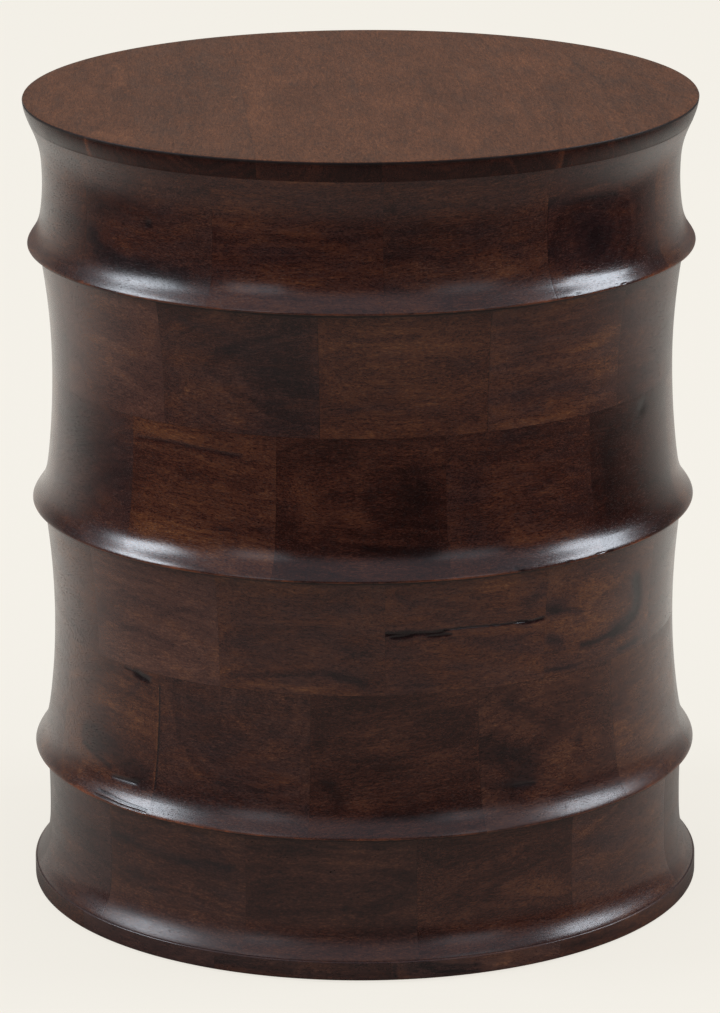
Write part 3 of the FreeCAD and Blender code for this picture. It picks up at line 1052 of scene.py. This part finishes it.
def stained_wood(name, look):
    """Stained and lacquered wood with rings, fibres, pores, mottle, worn places and dark seams, and
    with dirt and painted shade under the ridges' lips.
    """
    n = Nodes(bpy.data.materials.new(name))
    place = n.attribute("wood_at")["Vector"]
    ring = n.attribute("ring")["Fac"]
    stain = n.parts(n.attribute("stain")["Vector"])
    wear = n.parts(n.attribute("wear")["Vector"])

    drift = n.noise(place, (0.014, 0.040, 0.040))
    rings = n.ring_noise(n.fused(drift, 22.0, ring), 0.20)
    wavy = n.fused(drift, 12.0, n.times(rings, 1.5))
    offset = n.first("CombineXYZ", 0.0, wavy, wavy)
    along = n.first("VectorMath", place, offset, operation="ADD")
    fibre = n.noise(along, (0.13, 0.80, 0.80), 3.0, 0.6)
    fleck = n.noise(along, (0.50, 1.7, 1.7), 2.0, 0.6)
    mottle = n.noise(place, (0.018, 0.045, 0.045), 3.0)
    hue = n.noise(along, (0.030, 0.11, 0.11), 3.0, 0.6)
    level = n.total(
        n.centred(rings, look.rings),
        n.centred(fibre, look.fibres),
        n.centred(fleck, look.fibres * 1.5),
        n.centred(mottle, look.mottle),
        n.centred(hue, -0.25),
        n.fused(stain["X"], 0.30, 0.46),
    )
    warm = n.ramp(level, look.palette)
    cool = n.ramp(level, look.cool_palette)
    patchy = n.total(stain["Y"], n.centred(mottle, -0.6), n.centred(hue, 2.4))
    colour = n.mix(n.math("ADD", patchy, 0.0, clamp=True), warm, cool)

    pores = n.fused(n.noise(place, (0.30, 3.2, 3.2), 1.0), -9.0, 3.55, clamp=True)
    colour = n.mix(n.times(pores, 0.40), colour, NEAR_BLACK)

    ragged = n.fused(n.noise(place, (0.35, 0.9, 0.9)), 2.4, -0.55, clamp=True)
    rubbed = n.times(wear["X"], ragged)
    colour = n.mix(n.times(rubbed, look.worn, clamp=True), colour, WORN_ORANGE)
    # Darker at the glue seams, in a band on the rim's top edge, and under each ridge's lip for dirt
    # and painted shade.
    seam = n.times(wear["Y"], 0.8)
    darkening = n.math("MAXIMUM", seam, n.times(wear["Z"], 0.7), clamp=True)
    colour = n.mix(darkening, colour, NEAR_BLACK)

    patch = n.noise(place, (0.05, 0.11, 0.11), 3.0, 0.6)
    roughness = n.total(n.centred(patch, 0.12), n.centred(fleck, 0.10), look.gloss)
    roughness = n.fused(stain["Z"], 0.08, roughness)
    roughness = n.fused(pores, 0.22, roughness)
    roughness = n.fused(wear["Z"], 0.45, roughness, clamp=True)
    height = n.total(n.centred(fibre, 0.8), n.centred(fleck, 0.4), n.times(pores, -0.3))
    n.surface(colour, roughness, (0.25, 0.0001, height), {"Specular IOR Level": look.specular})
    return n.owner


def sawn_wood(name):
    """Bare wood as it came off the saw, with blade marks and glue stains."""
    n = Nodes(bpy.data.materials.new(name))
    place = n.attribute("wood_at")["Vector"]
    ring = n.attribute("ring")["Fac"]
    rings = n.ring_noise(ring, 0.25)
    fibre = n.noise(place, (0.05, 0.8, 0.8), 4.0, 0.65)
    stain = n.noise(place, (0.03, 0.05, 0.05), 3.0)
    saw = n.noise(place, (0.75, 0.02, 0.02), 1.0)
    level = n.total(n.centred(rings, 0.9), n.centred(fibre, 0.6), n.centred(stain, 0.7), 0.5)
    colour = n.ramp(level, ((0.085, 0.042, 0.020), (0.210, 0.120, 0.062), (0.380, 0.250, 0.140)))
    height = n.total(n.centred(saw, 1.0), n.centred(fibre, 0.5))
    roughness = n.fused(fibre, 0.2, 0.7)
    n.surface(colour, roughness, (0.6, 0.0003, height), {"Specular IOR Level": 0.3})
    return n.owner


def moulded_nylon(name):
    n = Nodes(bpy.data.materials.new(name))
    place = n.object_place()
    scuff = n.noise(place, (420, 420, 900), 4.0, 0.7)
    cloud = n.noise(place, (90, 90, 90), 3.0)
    dirt = n.fused(n.times(scuff, cloud), 3.0, -0.45, clamp=True)
    tones = ((0.62, 0.60, 0.55), (0.50, 0.47, 0.41), (0.30, 0.26, 0.20))
    colour = n.ramp(dirt, tones, (0.0, 0.6, 1.0))
    depth = {"Subsurface Weight": 0.1, "Subsurface Radius": (0.002, 0.002, 0.002)}
    n.surface(colour, n.fused(scuff, 0.35, 0.3), (0.3, 0.0001, scuff), depth)
    return n.owner


def zinc_steel(name):
    n = Nodes(bpy.data.materials.new(name))
    place = n.object_place()
    spangle = n.noise(place, (900, 900, 900), 3.0, 0.6)
    scratch = n.noise(place, (3000, 500, 500))
    colour = n.ramp(spangle, ((0.36, 0.36, 0.37), (0.60, 0.60, 0.60)), (0.3, 0.7))
    n.surface(colour, n.fused(spangle, 0.3, 0.25), (0.3, 0.00005, scratch), {"Metallic": 1.0})
    return n.owner


DRUM_LOOK = Look(DRUM_PALETTE, DRUM_COOL, 0.36, 0.70, 0.60, 0.22, 0.5, 1.0)
TOP_LOOK = Look(TOP_PALETTE, TOP_COOL, 0.36, 1.05, 0.34, 0.50, 0.12, 0.5)
RIM_LOOK = Look(RIM_PALETTE, RIM_PALETTE, 0.6, 0.6, 0.6, 0.27, 0.26, 0.8)
DRUM_WOOD = stained_wood("stained_drum_wood", DRUM_LOOK)
TOP_WOOD = stained_wood("stained_top_wood", TOP_LOOK)
RIM_WOOD = stained_wood("stained_end_grain", RIM_LOOK)
RAW_WOOD = sawn_wood("bare_sawn_wood")

make_courses()
make_foot()
make_boards()
for node, material in (("floor_glides", moulded_nylon("nylon")), ("glide_nails", zinc_steel("zinc"))):
    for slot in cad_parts[node].material_slots:
        slot.material = material

# ---- stage and light ----

CREAM = (0.905, 0.871, 0.799)  # the flat pale tone behind the table
FLOOR_ALBEDO = (0.70, 0.67, 0.61)
FLOOR_RADIUS = 14.0
FLOOR_DROP = 0.0001  # keeps the floor clear of the glides' flat feet
FLOOR_SHADING, FLOOR_GLOW = 0.12, 0.86  # shares of its tone that are lit and its own
FILL_LEVEL = 0.80
COOL_WHITE = (0.92, 1.0, 1.10)
SKY_BLUE = (0.90, 0.93, 1.06)
Softbox = namedtuple("Softbox", "name azimuth elevation away wide tall radiance glossy")
SOFTBOXES = (
    Softbox("softbox_left", -87.2, 28.7, 8.0, 3.3, 1.75, 15.8, True),
    Softbox("softbox_right", 93.6, 29.8, 6.0, 2.8, 1.40, 12.8, True),
    Softbox("front_left", -38.0, 24.0, 6.0, 2.0, 1.8, 1.3, True),
    Softbox("front_right", 38.0, 24.0, 6.0, 2.2, 1.8, 0.95, True),
    Softbox("overhead", 0.0, 80.0, 2.4, 2.0, 2.0, 0.26, False),
)
TARGET = Vector((0, 0, 0.27))


def make_floor():
    """A pale floor that meets the backdrop in one tone and keeps the shadow; in reflections it glows
    instead, with a painted pool of light and a painted shadow round the foot.
    """
    mesh = bpy.data.meshes.new("floor")
    made = bmesh.new()
    bmesh.ops.create_circle(made, cap_ends=True, segments=96, radius=FLOOR_RADIUS)
    made.to_mesh(mesh)
    made.free()
    floor = make_object("floor", mesh)
    floor.location.z = -FLOOR_DROP
    n = Nodes(bpy.data.materials.new("floor"))
    rays = n.add("LightPath").outputs
    matt = n.first("BsdfDiffuse", FLOOR_ALBEDO)
    shade = n.first("BsdfDiffuse", [c * FLOOR_SHADING for c in CREAM])
    flat = n.first("AddShader", shade, n.first("Emission", CREAM, FLOOR_GLOW))
    seen = n.math("MAXIMUM", rays["Is Camera Ray"], rays["Is Transmission Ray"])
    both = n.first("MixShader", seen, matt, flat)

    place = n.object_place()
    reach = n.add("VectorMath", {0: place}, operation="LENGTH").outputs["Value"]
    spot = n.parts(place)
    # What reflections see of the floor: painted light, brighter behind the table than in front and
    # slightly brighter towards -X, and a painted shadow close round the foot.
    painted_light_and_shadow = n.smooth(spot["Y"], -0.3, 0.6, 0.30, 0.98)
    painted_light_and_shadow = n.times(painted_light_and_shadow, n.smooth(spot["X"], -0.10, 0.15, 1.0, 0.96))
    painted_light_and_shadow = n.times(painted_light_and_shadow, n.smooth(reach, 0.20, 0.26, 0.35, 1.0))
    edge = n.smooth(reach, 0.80, 1.70, 0.0, 1.0)
    # Near the table reflections see this painted light and shadow glowing; from 0.8 to 1.7 m out the
    # floor fades to clear and the world shows.
    gloss = n.first("MixShader", edge, n.first("Emission", CREAM, painted_light_and_shadow), n.first("BsdfTransparent"))
    whole = n.first("MixShader", rays["Is Glossy Ray"], both, gloss)
    n.add("OutputMaterial", {0: whole})
    mesh.materials.append(n.owner)


def make_world():
    """Flat cream to the eye, a soft dome for light, a pale backdrop in gloss."""
    world = bpy.data.worlds.new("studio")
    bpy.context.scene.world = world
    n = Nodes(world)
    rays = n.add("LightPath").outputs
    glossy = rays["Is Glossy Ray"]
    part = n.parts(n.add("TexCoord").outputs["Generated"])
    behind = n.fused(part["X"], -0.03, part["Y"])
    rear = n.smooth(behind, 0.24, 1.02, 0.0, 0.97)
    rear = n.times(rear, n.smooth(part["X"], -0.1, 0.1, 1.0, 0.67))
    rear = n.times(rear, n.smooth(part["Z"], -0.02, 0.30, 1.0, 0.12))
    seen = n.math("MAXIMUM", rays["Is Camera Ray"], rays["Is Transmission Ray"])
    gloss = n.times(glossy, rear)
    above = n.times(glossy, n.smooth(part["Z"], 0.30, 0.65, 0.0, 0.56))
    sky = n.first("Background", SKY_BLUE, above)
    diffuse = n.math("SUBTRACT", 1.0, n.math("MAXIMUM", seen, glossy))
    backdrop = n.first("Background", CREAM, n.math("ADD", seen, gloss))
    dome = n.first("Background", (1.0, 1.0, 1.0), n.times(diffuse, FILL_LEVEL))
    both = n.first("AddShader", backdrop, dome)
    n.add("OutputWorld", {0: n.first("AddShader", both, sky)})


def make_softbox(box):
    data = bpy.data.lights.new(box.name, "AREA")
    data.shape = "RECTANGLE"
    data.size, data.size_y = box.wide, box.tall
    data.energy = box.radiance * box.wide * box.tall * math.pi
    data.color = COOL_WHITE
    lamp = make_object(box.name, data)
    lamp.visible_camera = False
    elevation = math.radians(box.elevation)
    out = Vector((*on_circle(box.azimuth, math.cos(elevation)), math.sin(elevation)))
    lamp.location = TARGET + out * box.away
    lamp.rotation_euler = out.to_track_quat("Z", "Y").to_euler()
    lamp.visible_glossy = box.glossy


make_floor()
make_world()
for softbox in SOFTBOXES:
    make_softbox(softbox)
bpy.context.scene.view_settings.view_transform = "Standard"
